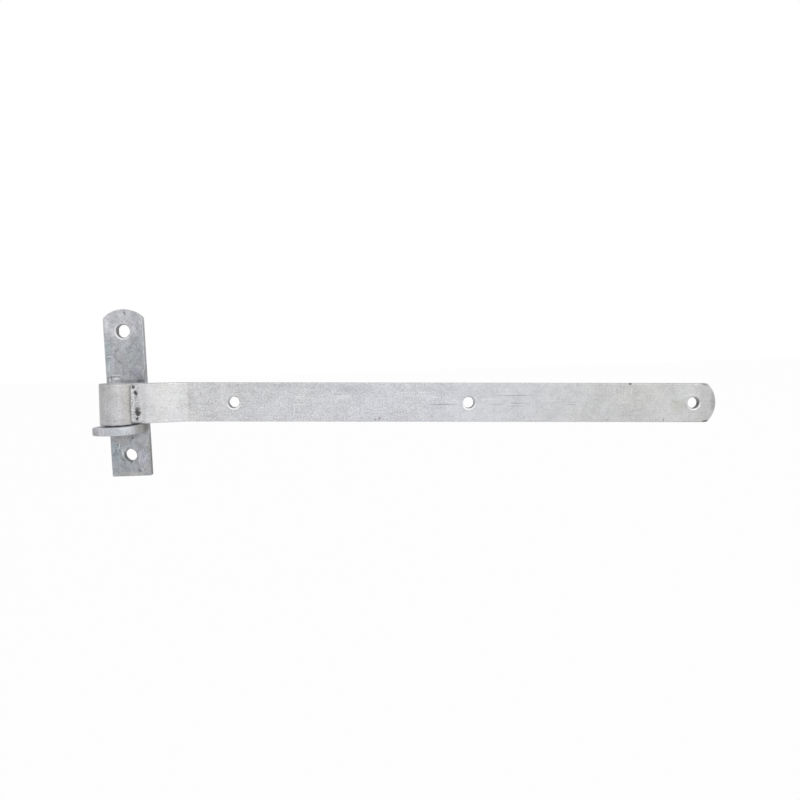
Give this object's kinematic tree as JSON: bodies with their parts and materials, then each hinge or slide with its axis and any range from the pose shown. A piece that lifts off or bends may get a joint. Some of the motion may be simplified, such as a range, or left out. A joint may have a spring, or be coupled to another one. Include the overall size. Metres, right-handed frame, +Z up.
{
  "type": "hook and band hinge",
  "caption": "Cranked gate hinge: a long drilled band rolled into an eye that turns on the upright pin of a bolt-on hook plate.",
  "frame": {"origin": "midway between the hook plate's two bolt holes, on the plate's back face that lies on the post", "axes": "+X along the closed band away from the pin, +Y into the post and the gate, +Z up along the pin"},
  "size_m": [0.6196, 0.054, 0.17],
  "materials": {
    "galvanised_hook": "hot-dip galvanised, dull and mottled",
    "galvanised_band": "hot-dip galvanised, bright satin",
    "weld": "galvanised weld bead"
  },
  "bodies": {
    "hook": {"hook_plate": "galvanised_hook", "pin_tongue": "galvanised_hook", "hinge_pin": "galvanised_hook", "pin_weld": "weld", "tongue_weld_top": "weld", "tongue_weld_bottom": "weld"},
    "band": {"band_strap": "galvanised_band", "eye_weld": "weld"}
  },
  "joints": [
    {"name": "band_swing", "type": "hinge", "parent": "hook", "child": "band", "pos_m": [0, -0.034, -0.00873], "axis": [0, 0, 1], "range_deg": [-180, 0]}
  ]
}
